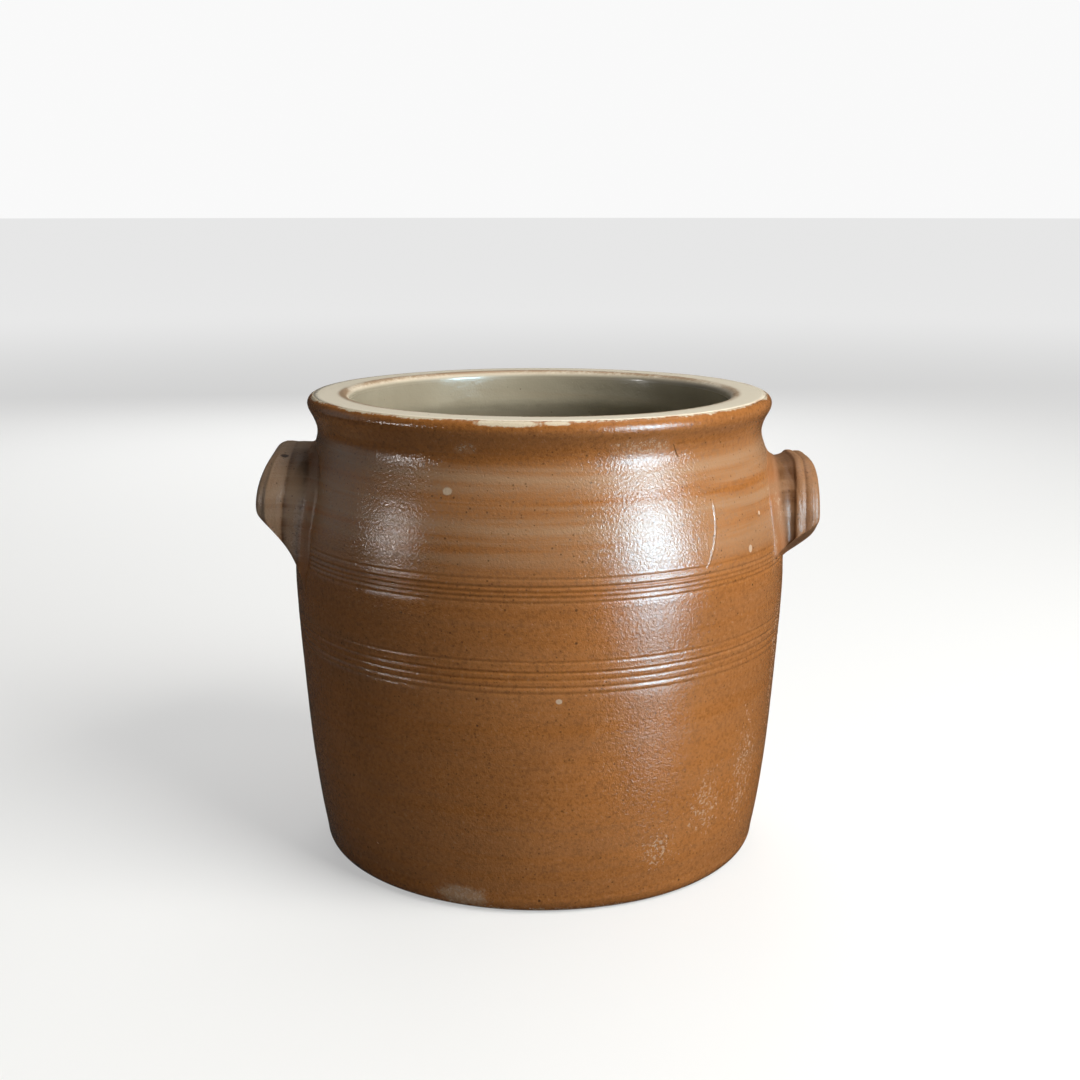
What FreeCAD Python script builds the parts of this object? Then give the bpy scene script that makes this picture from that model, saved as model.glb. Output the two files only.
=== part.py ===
"""Stoneware butter crock: a wheel-thrown pot with a collared rim, a liner glaze inside, and two
ears, each a ridged strap bent into an arch and luted to the shoulder with slip.

Units are millimetres. The origin is the centre of the flat base, +Z points up out of the mouth,
and the two ears stand on the X axis.
"""

import FreeCAD, Part
import math
import os
from collections import namedtuple
from FreeCAD import Vector

# ---------------------------------------------------------------- driving dimensions
HEIGHT = 220.0
BASE_RADIUS = 100.0          # edge of the flat that the crock stands on
FOOT_RADIUS = 105.9          # wall at the top of the rounded foot
FOOT_HEIGHT = 8.0
FOOT_BULGE = (103.9, 2.88)   # the middle of the foot's rounding
LOWER_RADIUS = 112.6         # wall a quarter of the way up
LOWER_HEIGHT = 57.0
UPPER_RADIUS = 116.3         # wall half way up
UPPER_HEIGHT = 108.0
BELLY_RADIUS = 117.6
BELLY_HEIGHT = 141.0
SHOULDER_RADIUS = 114.0
SHOULDER_HEIGHT = 174.0
CURL_RADIUS = 107.8          # where the shoulder turns into the neck
CURL_HEIGHT = 194.0
NECK_RADIUS = 105.6
NECK_HEIGHT = 203.0
RIM_RADIUS = 110.0
RIM_ROUND = 4.0              # radius of the rim's outer top edge
COLLAR_BULGE = (107.8, 210.5)   # the collar's underside, half way out

WALL = 9.6                   # clay and liner together
SHOULDER_WALL = 11.0         # the wall thickens towards the collar
FLOOR = 12.0                 # thickness of the floor, liner included
FLOOR_CORNER = 14.0          # radius between floor and wall, inside
FLOOR_WALL_RADIUS = 95.5     # inside wall at the top of that corner
THROAT = (94.1, 196.0)       # inside wall where it turns up to the mouth
MOUTH_RADIUS = 90.5          # straight bore inside the collar
MOUTH_BOTTOM = 205.0
LIP_ROUND = 3.5              # radius of the rim's inner top edge
LINER = 0.5                  # thickness of the liner glaze
LINER_OVERLAP = 0.5          # how far the liner runs on to the rim's outer round
LINER_RUN = 0.3              # how much thicker the liner has run at the foot of the mouth

GROOVE_TOOL = 1.0            # radius of the rounded stick that cut the bands
GROOVE_DEPTH = 0.35
UPPER_BAND = (145.0, 148.4, 151.0, 154.4)
LOWER_BAND = (105.4, 108.3, 111.6, 114.9)

SLIP = 0.8                   # thickness of the slip that holds an ear on
STRAP_THICKNESS = 13.0
STRAP_ROOT = 96.0            # the strap is trimmed back to the wall from here
EAR_REACH = 133.0            # outer face of the strap before its ends are trimmed
EAR_HALF_SPAN = 28.0         # from the ear's middle to the middle of a leg
EAR_BEND = 17.0              # radius of the arch's shoulders, on the strap's centreline
LEG_BOTTOM = 112.0           # the legs are cut to their slant from here
FLARE = 7.0                  # how much the strap's outer side spreads towards the wall
LOBES = (111.5, 117.5, 122.5, 127.0, EAR_REACH)   # ends of the ridges on the outer side
LOBE_RISE = 1.2              # how far a ridge stands out between its two valleys
EDGE_ROUND = 3.0             # rounding of the strap's outer edge, on the finger side
AIR_ABOVE = 40.0             # height of the empty space used to trim the rim and the ears

# An ear: its turn about Z in degrees, then its outline seen from the side, as (radius, height)
# points from the crown down the outer edge to the heel, and back to the wall along the toe.
Ear = namedtuple("Ear", "name turn crown edge heel instep toe")
EARS = (
    Ear("left", 184.0, (122.0, 197.0), (131.2, 185.0), (132.8, 166.5), (119.5, 149.5), (112.0, 126.0)),
    Ear("right", 0.0, (128.5, 190.0), (130.2, 180.0), (130.6, 162.0), (122.6, 151.0), (112.0, 140.0)),
)


# ---------------------------------------------------------------- outlines in the XZ plane
def line(a, b):
    """A straight edge between two (radius, height) points."""
    return Part.makeLine(Vector(a[0], 0, a[1]), Vector(b[0], 0, b[1]))


def arc(a, middle, b):
    """An arc through three (radius, height) points."""
    return Part.Arc(*(Vector(r, 0, z) for r, z in (a, middle, b))).toShape()


def corner(centre, radius, first, last):
    """A round about centre from one angle to another, in degrees up from the +X direction."""
    turns = [math.radians(t) for t in (first, (first + last) / 2, last)]
    places = [(centre[0] + radius * math.cos(t), centre[1] + radius * math.sin(t)) for t in turns]
    return arc(*places)


def curve(points, start, end):
    """A smooth edge through (radius, height) points that starts and ends in the given directions."""
    spline = Part.BSplineCurve()
    spline.interpolate(
        Points=[Vector(r, 0, z) for r, z in points],
        InitialTangent=Vector(start[0], 0, start[1]),
        FinalTangent=Vector(end[0], 0, end[1]),
    )
    return spline.toShape()


def flat_face(edges):
    """The flat face inside a closed outline."""
    return Part.Face(Part.Wire(Part.__sortEdges__(edges)))


def revolve(face):
    """The solid that a face in the XZ plane sweeps about the Z axis."""
    return Part.Solid(face.revolve(Vector(0, 0, 0), Vector(0, 0, 1), 360))


# ---------------------------------------------------------------- the thrown pot
def outside(grow=0.0):
    """Half of the pot's section, filled in. grow moves the wall outwards, for the slip on it."""
    base = (BASE_RADIUS + grow, 0)
    foot = (FOOT_RADIUS + grow, FOOT_HEIGHT)
    rim = (RIM_RADIUS + grow, HEIGHT - RIM_ROUND)
    foot_middle = (FOOT_BULGE[0] + grow, FOOT_BULGE[1])
    wall = [
        foot,
        (LOWER_RADIUS + grow, LOWER_HEIGHT),
        (UPPER_RADIUS + grow, UPPER_HEIGHT),
        (BELLY_RADIUS + grow, BELLY_HEIGHT),
        (SHOULDER_RADIUS + grow, SHOULDER_HEIGHT),
        (CURL_RADIUS + grow, CURL_HEIGHT),
        (NECK_RADIUS + grow, NECK_HEIGHT),
        (COLLAR_BULGE[0] + grow, COLLAR_BULGE[1]),
        rim,
    ]
    edges = [
        line((0, 0), base),
        arc(base, foot_middle, foot),
        curve(wall, start=(0.2, 1), end=(0, 1)),
        corner((rim[0] - RIM_ROUND, rim[1]), RIM_ROUND, 0, 90),
        line((rim[0] - RIM_ROUND, HEIGHT), (0, HEIGHT)),
        line((0, HEIGHT), (0, 0)),
    ]
    return flat_face(edges)


def air(swell=0.0):
    """Half of the section of the air in the pot and above it, down to the liner's surface.

    swell moves that surface into the clay, to where the liner meets it.
    The glaze has run thicker at the foot of the mouth, by LINER_RUN.
    """
    mouth_foot = (MOUTH_RADIUS + swell + LINER_RUN * swell / LINER, MOUTH_BOTTOM)
    corner_radius = FLOOR_WALL_RADIUS - FLOOR_CORNER
    corner_height = FLOOR + FLOOR_CORNER
    wall = [
        (FLOOR_WALL_RADIUS + swell, corner_height),
        (LOWER_RADIUS - WALL + swell, LOWER_HEIGHT),
        (UPPER_RADIUS - WALL + swell, UPPER_HEIGHT),
        (BELLY_RADIUS - WALL + swell, BELLY_HEIGHT),
        (SHOULDER_RADIUS - SHOULDER_WALL + swell, SHOULDER_HEIGHT),
        (THROAT[0] + swell, THROAT[1] + swell / 2),
        mouth_foot,
    ]
    lip = (MOUTH_RADIUS + LIP_ROUND, HEIGHT - LIP_ROUND)
    edge = RIM_RADIUS - RIM_ROUND + LINER_OVERLAP + swell
    floor = FLOOR - swell
    flat = HEIGHT - swell
    sky = HEIGHT + AIR_ABOVE
    edges = [
        line((0, floor), (corner_radius, floor)),
        corner((corner_radius, corner_height), FLOOR_CORNER + swell, 270, 360),
        curve(wall, start=(0.2, 1), end=(0, 1)),
        line(mouth_foot, (MOUTH_RADIUS + swell, lip[1])),
        corner(lip, LIP_ROUND - swell, 180, 90),
        line((lip[0], flat), (edge, flat)),
        line((edge, flat), (edge, sky)),
        line((edge, sky), (0, sky)),
        line((0, sky), (0, floor)),
    ]
    return flat_face(edges)


def groove_sections(pot):
    """The discs that a round stick takes out of the pot's section, in two bands."""
    discs = []
    for height in LOWER_BAND + UPPER_BAND:
        ray = Part.makeLine(Vector(0, 0, height), Vector(2 * RIM_RADIUS, 0, height))
        wall = max(v.Point.x for v in pot.common(ray).Vertexes)
        centre = Vector(wall + GROOVE_TOOL - GROOVE_DEPTH, 0, height)
        circle = Part.makeCircle(GROOVE_TOOL, centre, Vector(0, -1, 0))
        discs.append(Part.Face(Part.Wire(circle)))
    return discs


# ---------------------------------------------------------------- the ears
def arch_path(ear):
    """The strap's centreline: up one leg, over the crown and down the other, in the plane X = 0."""
    top = ear.crown[1] - STRAP_THICKNESS / 2 - LOBE_RISE
    spring = top - EAR_BEND
    inner = EAR_HALF_SPAN - EAR_BEND
    lean = EAR_BEND * (1 - math.sqrt(0.5))
    edges = []
    for side in (-1, 1):
        foot = Vector(0, side * EAR_HALF_SPAN, LEG_BOTTOM)
        low = Vector(0, side * EAR_HALF_SPAN, spring)
        knee = Vector(0, side * (EAR_HALF_SPAN - lean), top - lean)
        high = Vector(0, side * inner, top)
        edges += [Part.makeLine(foot, low), Part.Arc(low, knee, high).toShape()]
    edges.insert(2, Part.makeLine(Vector(0, -inner, top), Vector(0, inner, top)))
    return Part.Wire(Part.__sortEdges__(edges))


def strap_section():
    """A cut across the first leg: flat on the finger side, rounded ridges on the outer side."""
    finger = -EAR_HALF_SPAN + STRAP_THICKNESS / 2
    outer = -EAR_HALF_SPAN - STRAP_THICKNESS / 2
    z = LEG_BOTTOM
    soft = EDGE_ROUND * (1 - math.sqrt(0.5))
    round_start = Vector(EAR_REACH - EDGE_ROUND, finger, z)
    round_middle = Vector(EAR_REACH - soft, finger - soft, z)
    round_end = Vector(EAR_REACH, finger - EDGE_ROUND, z)
    edges = [
        Part.makeLine(Vector(STRAP_ROOT, finger, z), round_start),
        Part.Arc(round_start, round_middle, round_end).toShape(),
        Part.makeLine(round_end, Vector(EAR_REACH, outer, z)),
    ]
    for near, far in zip(LOBES, LOBES[1:]):
        ridge = Vector((near + far) / 2, outer - LOBE_RISE, z)
        edges.append(Part.Arc(Vector(near, outer, z), ridge, Vector(far, outer, z)).toShape())
    flare = Vector(STRAP_ROOT, outer - FLARE, z)
    edges.append(Part.makeLine(Vector(LOBES[0], outer, z), flare))
    edges.append(Part.makeLine(flare, Vector(STRAP_ROOT, finger, z)))
    return Part.Wire(Part.__sortEdges__(edges))


def bent_strap(ear):
    """The strap after bending, before its legs are cut and its root is fitted to the wall."""
    sweep = Part.BRepOffsetAPI.MakePipeShell(arch_path(ear))
    sweep.setBiNormalMode(Vector(1, 0, 0))
    sweep.add(strap_section())
    sweep.build()
    sweep.makeSolid()
    return sweep.shape()


def side_cutter(ear):
    """What is kept of the strap, seen from the side: a hollow toe, and an edge that leans in."""
    above = ear.crown[1] + AIR_ABOVE
    half_width = EAR_HALF_SPAN + STRAP_THICKNESS + FLARE
    edges = [
        line((STRAP_ROOT, LEG_BOTTOM), ear.toe),
        arc(ear.toe, ear.instep, ear.heel),
        arc(ear.heel, ear.edge, ear.crown),
        line(ear.crown, (ear.crown[0], above)),
        line((ear.crown[0], above), (STRAP_ROOT, above)),
        line((STRAP_ROOT, above), (STRAP_ROOT, LEG_BOTTOM)),
    ]
    profile = flat_face(edges)
    profile.translate(Vector(0, -half_width, 0))
    return profile.extrude(Vector(0, 2 * half_width, 0))


def make_ear(ear, pot, pot_and_slip):
    """One ear and the slip that bonds it, both turned to their place on the shoulder."""
    strap = bent_strap(ear).common(side_cutter(ear))
    clay = strap.cut(pot_and_slip)
    slip = strap.common(pot_and_slip).cut(pot)
    pieces = []
    for piece in (clay, slip):
        solid = piece.Solids[0]
        solid.rotate(Vector(0, 0, 0), Vector(0, 0, 1), ear.turn)
        pieces.append(solid)
    return pieces


def main():
    """Build every piece and write one STEP file for each."""
    os.makedirs("parts", exist_ok=True)
    filled = outside()
    air_and_liner = air(LINER)
    nodes = {
        "crock_body": revolve(filled.cut([air_and_liner] + groove_sections(filled)).Faces[0]),
        "liner_glaze": revolve(air_and_liner.cut(air()).common(filled).Faces[0]),
    }
    pot = revolve(filled)
    pot_and_slip = revolve(outside(SLIP))
    for ear in EARS:
        clay, slip = make_ear(ear, pot, pot_and_slip)
        nodes[ear.name + "_ear"] = clay
        nodes[ear.name + "_ear_slip"] = slip
    for name, solid in nodes.items():
        solid.exportStep("parts/" + name + ".step")
        print(name, solid.isValid(), round(solid.Volume), "mm3")


main()
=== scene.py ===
"""The looks of a stoneware butter crock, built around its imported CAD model.

Six pieces are made here, one for each CAD node: the thrown pot with its cut bands, the liner glaze
inside it, the two pulled ears, and the thin bead of slip behind each ear. Every surface has a
procedural finish that reads Object coordinates, so a pattern runs on from one piece to the next.
"""

import logging
import math
from dataclasses import dataclass, field
from enum import Enum
from typing import Iterable, Sequence

import bmesh
import bpy
import numpy as np
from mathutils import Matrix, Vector, noise
from mathutils.bvhtree import BVHTree


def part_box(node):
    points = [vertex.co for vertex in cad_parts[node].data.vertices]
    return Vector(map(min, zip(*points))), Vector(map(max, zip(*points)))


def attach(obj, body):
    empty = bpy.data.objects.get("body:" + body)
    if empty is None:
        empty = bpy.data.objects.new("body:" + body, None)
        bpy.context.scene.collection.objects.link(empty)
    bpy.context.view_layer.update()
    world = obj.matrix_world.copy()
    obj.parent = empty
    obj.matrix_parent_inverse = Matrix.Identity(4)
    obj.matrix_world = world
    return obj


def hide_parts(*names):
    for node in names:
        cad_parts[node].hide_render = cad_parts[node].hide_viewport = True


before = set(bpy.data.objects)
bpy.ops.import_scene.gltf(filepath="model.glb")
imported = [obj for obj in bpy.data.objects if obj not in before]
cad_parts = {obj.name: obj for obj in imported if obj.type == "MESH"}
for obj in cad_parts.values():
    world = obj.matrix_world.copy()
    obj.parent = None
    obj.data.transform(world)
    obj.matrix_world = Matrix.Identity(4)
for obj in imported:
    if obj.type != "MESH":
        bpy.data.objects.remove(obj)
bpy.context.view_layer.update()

MM = 0.001
FULL_TURN = 2.0 * math.pi
SECTORS = 16
FORM_LAYER = "form"
LOG = logging.getLogger("crock")

Colour = tuple[float, float, float]
Point = tuple[float, float, float]
Outline = list[tuple[float, float]]
Socket = bpy.types.NodeSocket


# ------------ small helpers
def smoothstep(low: float, high: float, value: float) -> float:
    """A soft step from 0 at low to 1 at high.

    Args:
        low: where the step starts.
        high: where the step ends, which may be below low.
        value: the place to read it at.

    Returns:
        The step's height, from 0 to 1.
    """
    t = min(1.0, max(0.0, (value - low) / (high - low)))
    return t * t * (3.0 - 2.0 * t)


def bell(distance: float, width: float) -> float:
    """A rounded hump that is 1 at distance 0 and almost 0 two widths away."""
    return math.exp(-((distance / width) ** 2))


def wander(x: float, y: float, z: float = 0.0) -> float:
    """Smooth repeatable noise between about -1 and 1."""
    return noise.noise(Vector((x, y, z)))


class SmoothLine:
    """A clamped cubic spline through (place, value) points, as a draughtsman's spline would lie."""

    STEPS = 1500

    def __init__(self, points: Sequence[tuple[float, float]], first: float, last: float) -> None:
        """Solve the spline once.

        Args:
            points: (place, value) pairs in rising order of place.
            first: the slope at the first point.
            last: the slope at the last point.
        """
        self.x = np.array([p[0] for p in points])
        self.y = np.array([p[1] for p in points])
        gap = np.diff(self.x)
        rise = np.diff(self.y) / gap
        count = len(points)
        matrix = np.eye(count)
        right = np.zeros(count)
        right[0] = first
        right[-1] = last
        for i in range(1, count - 1):
            matrix[i, i - 1] = gap[i]
            matrix[i, i] = 2.0 * (gap[i - 1] + gap[i])
            matrix[i, i + 1] = gap[i - 1]
            right[i] = 3.0 * (gap[i] * rise[i - 1] + gap[i - 1] * rise[i])
        self.slope = np.linalg.solve(matrix, right)
        self.start = float(self.x[0])
        self.gap = float(self.x[-1] - self.x[0]) / self.STEPS
        self.table = [self.exact(self.start + self.gap * k) for k in range(self.STEPS + 1)]

    def __call__(self, place: float) -> float:
        """The spline's value at a place, held at its ends, read from a fine table."""
        at = min(max((place - self.start) / self.gap, 0.0), self.STEPS - 1e-6)
        i = int(at)
        return self.table[i] + (self.table[i + 1] - self.table[i]) * (at - i)

    def exact(self, place: float) -> float:
        """The spline's value at a place, worked out in full."""
        i = min(int(np.searchsorted(self.x, place, side="right")) - 1, len(self.x) - 2)
        gap = self.x[i + 1] - self.x[i]
        t = (place - self.x[i]) / gap
        start = (1.0 + 2.0 * t) * (1.0 - t) ** 2 * self.y[i] + t * (1.0 - t) ** 2 * gap * self.slope[i]
        end = t * t * (3.0 - 2.0 * t) * self.y[i + 1] + t * t * (t - 1.0) * gap * self.slope[i + 1]
        return float(start + end)


class CadProbe:
    """Measures the radius of a CAD node by rays square to its axis."""

    BEARINGS = 12

    def __init__(self, node: str) -> None:
        """Index the node's triangles."""
        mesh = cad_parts[node].data
        corners = [v.co.copy() for v in mesh.vertices]
        self.tree = BVHTree.FromPolygons(corners, [tuple(p.vertices) for p in mesh.polygons])

    def radius(self, height: float, from_outside: bool) -> float:
        """The mean radius at a height, met from outside or from the axis.

        Args:
            height: the height of the rays, in metres.
            from_outside: whether the rays come in from outside.

        Returns:
            The radius in metres.
        """
        found = []
        for k in range(self.BEARINGS):
            turn = FULL_TURN * (k + 0.5) / self.BEARINGS
            out = Vector((math.cos(turn), math.sin(turn), 0.0))
            start = out * (1.0 if from_outside else 0.0) + Vector((0.0, 0.0, height))
            hit = self.tree.ray_cast(start, -out if from_outside else out)[0]
            found.append(math.hypot(hit.x, hit.y))
        return sum(found) / len(found)


def spin_outline(outline: Sequence[tuple[float, float]], steps: int) -> bmesh.types.BMesh:
    """Turn a (radius, height) outline about the Z axis, as on a wheel.

    Args:
        outline: the points in order, which may start and end on the axis.
        steps: how many faces go round.

    Returns:
        A closed mesh with its normals outwards.
    """
    shape = bmesh.new()
    verts = [shape.verts.new((radius, 0.0, height)) for radius, height in outline]
    edges = [shape.edges.new(pair) for pair in zip(verts, verts[1:])]
    turning = {"cent": (0, 0, 0), "axis": (0, 0, 1)}
    share = FULL_TURN / SECTORS
    bmesh.ops.spin(shape, geom=verts + edges, angle=share, steps=steps // SECTORS, **turning)
    sector = shape.verts[:] + shape.edges[:] + shape.faces[:]
    bmesh.ops.spin(shape, geom=sector, angle=FULL_TURN - share, steps=SECTORS - 1, use_duplicate=True, **turning)
    bmesh.ops.remove_doubles(shape, verts=shape.verts, dist=0.01 * MM)
    bmesh.ops.recalc_face_normals(shape, faces=shape.faces)
    return shape


def finish_piece(
    shape: bmesh.types.BMesh, name: str, finish: bpy.types.Material, node: str
) -> bpy.types.Object:
    """Make an object of a mesh, smooth it, give it its finish and tie it to the frame.

    Args:
        shape: the mesh, which is freed.
        name: the piece's name.
        finish: its material.
        node: the CAD node that it replaces.

    Returns:
        The object, linked to the scene.
    """
    mesh = bpy.data.meshes.new(name)
    shape.to_mesh(mesh)
    shape.free()
    mesh.shade_smooth()
    mesh.materials.append(finish)
    piece = bpy.data.objects.new(name, mesh)
    bpy.context.scene.collection.objects.link(piece)
    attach(piece, "root")
    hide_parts(node)
    LOG.info("%s: %d faces", name, len(mesh.polygons))
    return piece


# ------------ the pot's form
class Zone(Enum):
    """Where a row of the outline lies, for its spacing."""

    PLAIN = 2.2 * MM
    CUT = 0.42 * MM
    ROUND = 0.5 * MM
    HIDDEN = 5.0 * MM


@dataclass(frozen=True)
class CutLine:
    """One line cut into the turning wall with a stick."""

    height: float
    depth: float
    drift: float
    seed: float

    def depth_at(self, turn: float, height: float) -> float:
        """How deep the line has cut at a place on the wall.

        Args:
            turn: the bearing in radians.
            height: the height in metres.

        Returns:
            Depth in metres; a little below 0 on the burr beside the line.
        """
        sway = self.drift * math.sin(turn + self.seed) + 0.12 * MM * wander(2.0 * turn, self.seed)
        off = (height - self.height - sway) / MM
        press = 0.62 + 0.55 * wander(1.3 * math.cos(turn), 1.3 * math.sin(turn), self.seed)
        press = min(1.0, max(0.12, press))
        return self.depth * press * (bell(off, 0.52) - 0.30 * bell(off - 1.05, 0.45) - 0.22 * bell(off + 1.05, 0.45))


@dataclass
class PotForm:
    """The shape of the thrown pot, read from the CAD model and then given the maker's hand."""

    foot_height: float = 8.0 * MM
    foot_width: float = 6.4 * MM
    foot_fullness: float = 1.15
    foot_rows: int = 12
    base_radius: float = 100.0 * MM
    rim_round: float = 4.0 * MM
    lip_round: float = 3.5 * MM
    floor_corner: float = 14.0 * MM
    mouth_bottom: float = 205.0 * MM
    liner: float = 0.5 * MM
    liner_overlap: float = 0.5 * MM
    shrink: float = 0.35 * MM
    outer_heights: tuple[float, ...] = (8, 22, 40, 57, 76, 96, 120, 132, 141, 160, 174, 184, 194, 203, 210.5, 216)
    inner_heights: tuple[float, ...] = (26, 57, 84, 108, 126, 141, 158, 174, 186, 196, 205)
    upper_band: tuple[float, ...] = (144.9, 147.1, 149.0, 151.2, 154.6)
    lower_band: tuple[float, ...] = (105.4, 108.3, 111.6, 114.9, 119.6)
    outer: SmoothLine = field(init=False)
    inner: SmoothLine = field(init=False)
    cuts: list[CutLine] = field(init=False)

    def __post_init__(self) -> None:
        """Measure the CAD pot and its liner, and lay out the cut lines."""
        clay = CadProbe("crock_body")
        glaze = CadProbe("liner_glaze")
        self.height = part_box("liner_glaze")[1].z
        self.floor = glaze.tree.ray_cast(Vector((0, 0, 1)), Vector((0, 0, -1)))[0].z
        outer = [(h * MM, clay.radius(h * MM, True)) for h in self.outer_heights]
        inner = [(h * MM, glaze.radius(h * MM, False)) for h in self.inner_heights]
        self.outer = SmoothLine(outer, 0.2, 0.0)
        self.inner = SmoothLine(inner, 0.2, 0.0)
        self.rim_radius = outer[-1][1]
        self.mouth_radius = inner[-1][1]
        depths = (0.42, 0.50, 0.40, 0.55, 0.30)
        self.cuts = []
        for band, seed in ((self.upper_band, 1.7), (self.lower_band, 5.2)):
            for k, (height, depth) in enumerate(zip(band, depths)):
                self.cuts.append(CutLine(height * MM, depth * MM, 0.35 * MM, seed + 0.31 * k))

    # ---- outlines
    def wall_rows(self) -> list[float]:
        """Heights of the wall's rows, close together where lines are cut."""
        rows = [self.foot_height]
        bands = [(b[0] * MM - 2.4 * MM, b[-1] * MM + 2.4 * MM) for b in (self.lower_band, self.upper_band)]
        top = self.height - self.rim_round
        while rows[-1] < top:
            here = rows[-1]
            inside = any(low <= here <= high for low, high in bands)
            near_rim = here > top - 8.0 * MM
            step = Zone.CUT.value if inside else Zone.ROUND.value * 2 if near_rim else Zone.PLAIN.value
            rows.append(here + step)
        return rows[:-1] + [top]

    def round_points(
        self, centre: tuple[float, float], radius: float, first: float, last: float, count: int
    ) -> Outline:
        """Points round an arc, without its first one.

        Args:
            centre: (radius, height) of the arc's centre.
            radius: the arc's radius.
            first: where it starts, in degrees up from outwards.
            last: where it ends.
            count: how many points.

        Returns:
            (radius, height) points.
        """
        turns = [math.radians(first + (last - first) * k / count) for k in range(1, count + 1)]
        return [(centre[0] + radius * math.cos(t), centre[1] + radius * math.sin(t)) for t in turns]

    def outside_outline(self) -> Outline:
        """From the middle of the base, round the foot, up the wall and over the rim's edge."""
        foot = self.outer(self.foot_height)
        points = [(self.base_radius * part, 0.0) for part in (0.0, 0.3, 0.6, 0.85, 0.97)]
        points.append((self.base_radius - 0.6 * MM, 0.0))
        for k in range(1, self.foot_rows):
            t = math.radians(90.0 * k / self.foot_rows)
            across = self.foot_width * math.sin(t) ** self.foot_fullness
            points.append((foot - self.foot_width + across, self.foot_height * (1.0 - math.cos(t))))
        points += [(self.outer(height), height) for height in self.wall_rows()]
        centre = (self.rim_radius - self.rim_round, self.height - self.rim_round)
        points += self.round_points(centre, self.rim_round, 0.0, self.liner_edge_angle(), 14)
        return points

    def liner_edge_angle(self) -> float:
        """Where on the rim's outer round the liner glaze ends, in degrees."""
        return math.degrees(math.acos((self.liner_overlap + self.liner) / self.rim_round))

    def hollow_outline(self, swell: float, coarse: bool) -> Outline:
        """From the rim's flat top down the inside to the middle of the floor.

        Args:
            swell: how far it lies inside the clay: 0 is the glaze's surface.
            coarse: whether the outline is hidden and needs few points.

        Returns:
            (radius, height) points.
        """
        edge = self.rim_radius - self.rim_round + self.liner_overlap + swell
        flat = self.height - swell
        lip = (self.mouth_radius + self.lip_round, self.height - self.lip_round)
        rows = 3 if coarse else 7
        points = [(edge + (lip[0] - edge) * k / rows, flat) for k in range(rows)]
        points.append((lip[0], flat))
        points += self.round_points(lip, self.lip_round - swell, 90.0, 180.0, 4 if coarse else 9)
        step = Zone.HIDDEN.value if coarse else Zone.PLAIN.value
        height = lip[1] - step
        bottom = self.floor + self.floor_corner
        while height > bottom + 0.4 * step:
            radius = self.inner(height) if height < self.mouth_bottom else self.mouth_radius
            points.append((radius + swell, height))
            height -= step
        corner = (self.inner(bottom) - self.floor_corner, bottom)
        points.append((corner[0] + self.floor_corner + swell, bottom))
        points += self.round_points(corner, self.floor_corner + swell, 0.0, -90.0, 7)
        rows = 4 if coarse else 16
        points += [(corner[0] * (1.0 - k / rows), self.floor - swell) for k in range(1, rows)]
        points.append((0.0, self.floor - swell))
        return points

    # ---- the hand
    def turned(self, place: Vector, outside: bool) -> Vector:
        """Where a point of the perfect form ends up on the pot that a hand threw.

        Args:
            place: the point on the perfect form.
            outside: whether it is on the outer wall.

        Returns:
            The moved point.
        """
        radius = math.hypot(place.x, place.y)
        if radius < 1e-6:
            return place.copy()
        turn = math.atan2(place.y, place.x)
        side = smoothstep(70.0 * MM, 90.0 * MM, radius)
        lift = place.z / self.height
        push = self.oval(turn, lift)
        if outside:
            push += self.rings(turn, place.z)
            push -= sum(cut.depth_at(turn, place.z) for cut in self.cuts if abs(place.z - cut.height) < 3.2 * MM)
        else:
            push += 0.16 * MM * wander(place.z / (7.0 * MM) + turn / FULL_TURN, 4.0)
        scale = 1.0 + side * push / radius
        top = smoothstep(0.93, 1.0, lift)
        dip = 0.22 * MM * (1.0 + wander(1.6 * math.cos(turn) + 3.0, 1.6 * math.sin(turn)))
        dip += 0.10 * MM * (1.0 + wander(radius / (2.5 * MM), 0.6 * turn))
        return Vector((place.x * scale, place.y * scale, place.z - top * side * dip))

    def oval(self, turn: float, lift: float) -> float:
        """How far out of round the pot is at a bearing, and at a height as a share of the whole."""
        out = 0.16 * math.cos(2.0 * turn + 0.7) + 0.10 * math.cos(3.0 * turn + 2.0 + lift)
        return MM * (out + 0.16 * wander(1.7 * math.cos(turn), 1.7 * math.sin(turn), 5.0 * lift)) - 0.6 * self.shrink

    def rings(self, turn: float, height: float) -> float:
        """The shallow rings that fingers and a rib leave on the outer wall, in metres.

        Args:
            turn: the bearing in radians.
            height: the height in metres.

        Returns:
            How far the surface stands out.
        """
        climb = height / MM + 3.5 * turn / FULL_TURN
        soft = 0.85 + 0.5 * wander(1.2 * math.cos(turn), 1.2 * math.sin(turn), climb / 40.0)
        broad = 0.20 * wander(climb / 9.0, 0.5) + 0.07 * wander(climb / 3.1, 7.5)
        upper = smoothstep(118.0, 160.0, height / MM) * smoothstep(216.0, 205.0, height / MM)
        slump = 0.10 * wander(2.2 * math.cos(turn), 2.2 * math.sin(turn), climb / 30.0)
        return MM * soft * (broad * (0.45 + 0.75 * upper) + slump)

    def wall(self, turn: float, height: float) -> float:
        """The outer wall's radius after throwing, at a bearing and height, without its rings."""
        return self.outer(height) + self.oval(turn, height / self.height)


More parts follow.
